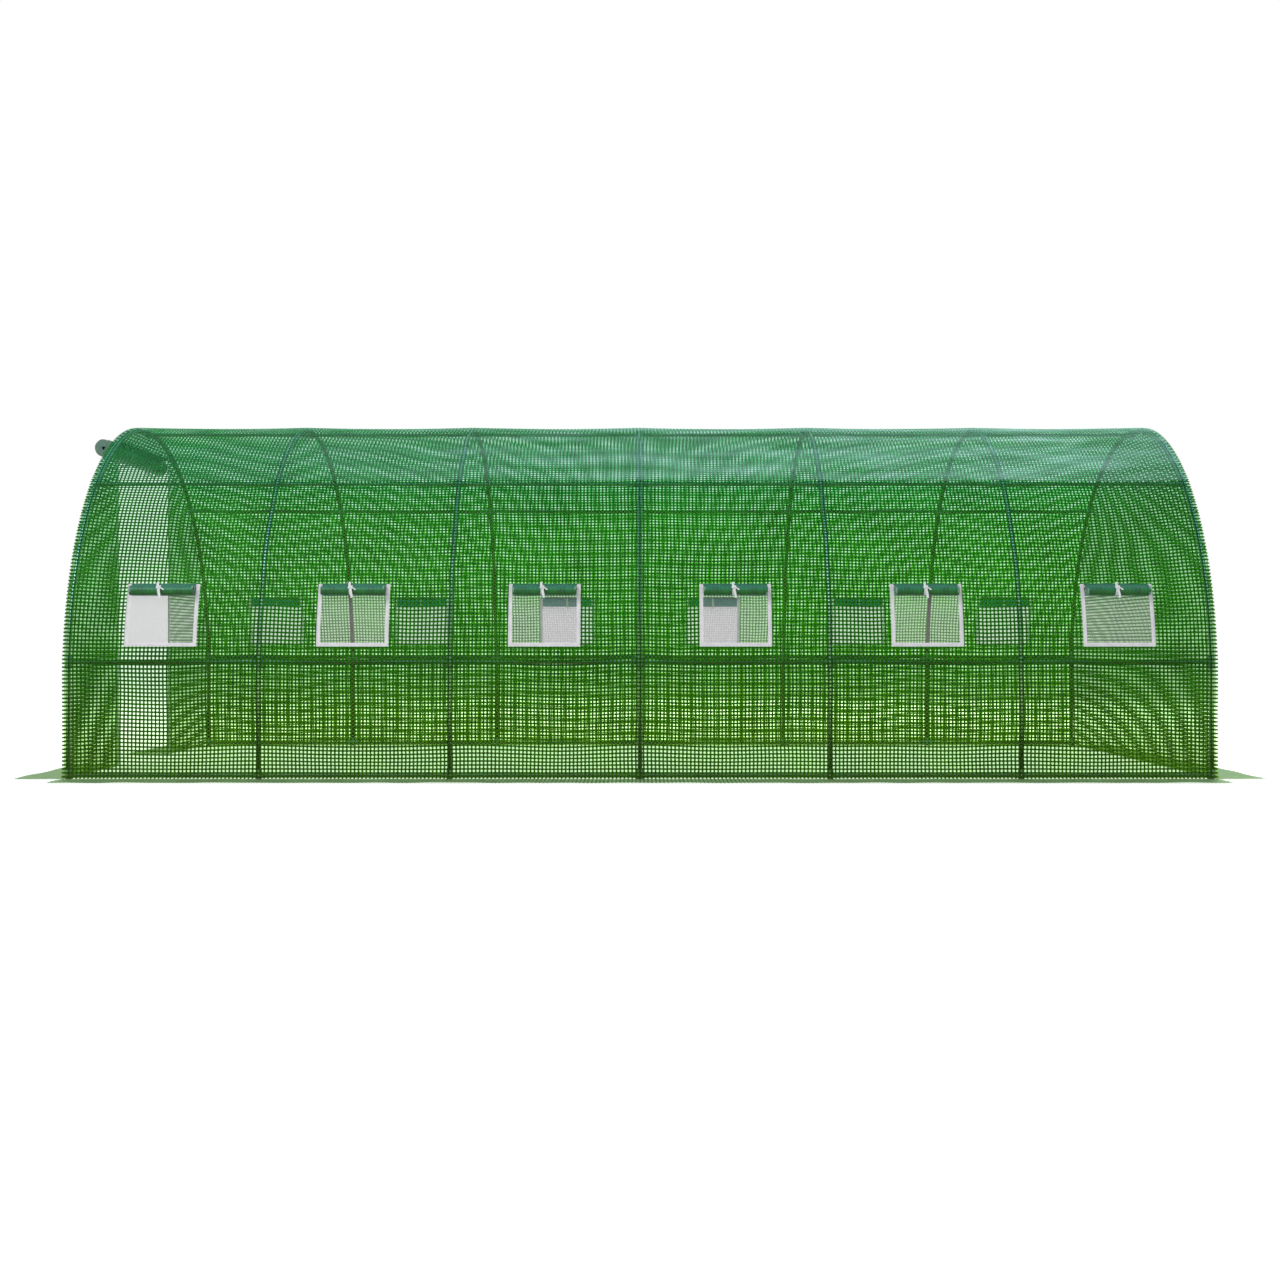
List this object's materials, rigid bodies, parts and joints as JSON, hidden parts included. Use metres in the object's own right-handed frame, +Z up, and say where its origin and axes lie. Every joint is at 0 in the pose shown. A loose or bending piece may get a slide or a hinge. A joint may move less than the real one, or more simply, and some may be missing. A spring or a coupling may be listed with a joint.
{
  "type": "tunnel greenhouse",
  "caption": "Walk-in tunnel greenhouse: steel hoops and rails under a reinforced film cover with roll-up net windows, a roll-up zipped door and loose ground flaps.",
  "frame": {"origin": "on the ground, under the middle of the greenhouse", "axes": "+Z up, X along the tunnel with the door at the -X end, -Y the long side that the picture shows"},
  "size_m": [6.56, 3.57, 2.019],
  "materials": {
    "frame_steel": "galvanised tube, satin",
    "cover_film": "clear film with a woven green grid, satin sheen",
    "flap_film": "clear pale green film, satin",
    "window_net": "fine white net with a white bound edge",
    "rolled_film": "rolled film with a woven green grid, satin sheen",
    "zip_tape": "woven tape",
    "zip_slider": "satin"
  },
  "bodies": {
    "greenhouse": {"hoop_1": "frame_steel", "hoop_2": "frame_steel", "hoop_3": "frame_steel", "hoop_4": "frame_steel", "hoop_5": "frame_steel", "hoop_6": "frame_steel", "hoop_7": "frame_steel", "ridge_rail": "frame_steel", "upper_rail_front": "frame_steel", "upper_rail_rear": "frame_steel", "mid_rail_front": "frame_steel", "mid_rail_rear": "frame_steel", "ground_rail_front": "frame_steel", "ground_rail_rear": "frame_steel", "side_cover_front": "cover_film", "side_cover_rear": "cover_film", "roof_cover": "cover_film", "door_end_cover": "cover_film", "plain_end_cover": "cover_film", "ground_flap_front": "flap_film", "ground_flap_rear": "flap_film", "ground_flap_plain_end": "flap_film", "ground_flap_door_front": "flap_film", "ground_flap_door_rear": "flap_film", "window_net_front_1": "window_net", "window_net_front_2": "window_net", "window_net_front_3": "window_net", "window_net_front_4": "window_net", "window_net_front_5": "window_net", "window_net_front_6": "window_net", "window_net_rear_1": "window_net", "window_net_rear_2": "window_net", "window_net_rear_3": "window_net", "window_net_rear_4": "window_net", "window_net_rear_5": "window_net", "window_net_rear_6": "window_net", "door_zip_front": "zip_tape", "door_zip_rear": "zip_tape"},
    "window_roll_front_1": {"window_roll_front_1": "rolled_film"},
    "window_roll_front_2": {"window_roll_front_2": "rolled_film"},
    "window_roll_front_3": {"window_roll_front_3": "rolled_film"},
    "window_roll_front_4": {"window_roll_front_4": "rolled_film"},
    "window_roll_front_5": {"window_roll_front_5": "rolled_film"},
    "window_roll_front_6": {"window_roll_front_6": "rolled_film"},
    "window_roll_rear_1": {"window_roll_rear_1": "rolled_film"},
    "window_roll_rear_2": {"window_roll_rear_2": "rolled_film"},
    "window_roll_rear_3": {"window_roll_rear_3": "rolled_film"},
    "window_roll_rear_4": {"window_roll_rear_4": "rolled_film"},
    "window_roll_rear_5": {"window_roll_rear_5": "rolled_film"},
    "window_roll_rear_6": {"window_roll_rear_6": "rolled_film"},
    "door_roll": {"door_roll": "rolled_film"},
    "zip_slider_front": {"zip_slider_front": "zip_slider"},
    "zip_slider_rear": {"zip_slider_rear": "zip_slider"}
  },
  "joints": [
    {"name": "window_roll_front_1_travel", "type": "hinge", "parent": "greenhouse", "child": "window_roll_front_1", "pos_m": [-2.5188, 0, 0.495], "axis": [1, 0, 0], "range_deg": [0, 11]},
    {"name": "window_roll_front_2_travel", "type": "hinge", "parent": "greenhouse", "child": "window_roll_front_2", "pos_m": [-1.5112, 0, 0.495], "axis": [1, 0, 0], "range_deg": [0, 11]},
    {"name": "window_roll_front_3_travel", "type": "hinge", "parent": "greenhouse", "child": "window_roll_front_3", "pos_m": [-0.5038, 0, 0.495], "axis": [1, 0, 0], "range_deg": [0, 11]},
    {"name": "window_roll_front_4_travel", "type": "hinge", "parent": "greenhouse", "child": "window_roll_front_4", "pos_m": [0.5038, 0, 0.495], "axis": [1, 0, 0], "range_deg": [0, 11]},
    {"name": "window_roll_front_5_travel", "type": "hinge", "parent": "greenhouse", "child": "window_roll_front_5", "pos_m": [1.5112, 0, 0.495], "axis": [1, 0, 0], "range_deg": [0, 11]},
    {"name": "window_roll_front_6_travel", "type": "hinge", "parent": "greenhouse", "child": "window_roll_front_6", "pos_m": [2.5188, 0, 0.495], "axis": [1, 0, 0], "range_deg": [0, 11]},
    {"name": "window_roll_rear_1_travel", "type": "hinge", "parent": "greenhouse", "child": "window_roll_rear_1", "pos_m": [-2.5188, 0, 0.495], "axis": [-1, 0, 0], "range_deg": [0, 11]},
    {"name": "window_roll_rear_2_travel", "type": "hinge", "parent": "greenhouse", "child": "window_roll_rear_2", "pos_m": [-1.5112, 0, 0.495], "axis": [-1, 0, 0], "range_deg": [0, 11]},
    {"name": "window_roll_rear_3_travel", "type": "hinge", "parent": "greenhouse", "child": "window_roll_rear_3", "pos_m": [-0.5038, 0, 0.495], "axis": [-1, 0, 0], "range_deg": [0, 11]},
    {"name": "window_roll_rear_4_travel", "type": "hinge", "parent": "greenhouse", "child": "window_roll_rear_4", "pos_m": [0.5038, 0, 0.495], "axis": [-1, 0, 0], "range_deg": [0, 11]},
    {"name": "window_roll_rear_5_travel", "type": "hinge", "parent": "greenhouse", "child": "window_roll_rear_5", "pos_m": [1.5112, 0, 0.495], "axis": [-1, 0, 0], "range_deg": [0, 11]},
    {"name": "window_roll_rear_6_travel", "type": "hinge", "parent": "greenhouse", "child": "window_roll_rear_6", "pos_m": [2.5188, 0, 0.495], "axis": [-1, 0, 0], "range_deg": [0, 11]},
    {"name": "door_roll_drop", "type": "slide", "parent": "greenhouse", "child": "door_roll", "axis": [0, 0, -1], "range_m": [0, 1.75]},
    {"name": "zip_slider_front_run", "type": "slide", "parent": "greenhouse", "child": "zip_slider_front", "axis": [0, 0, -1], "range_m": [0, 1.7]},
    {"name": "zip_slider_rear_run", "type": "slide", "parent": "greenhouse", "child": "zip_slider_rear", "axis": [0, 0, -1], "range_m": [0, 1.7]}
  ]
}
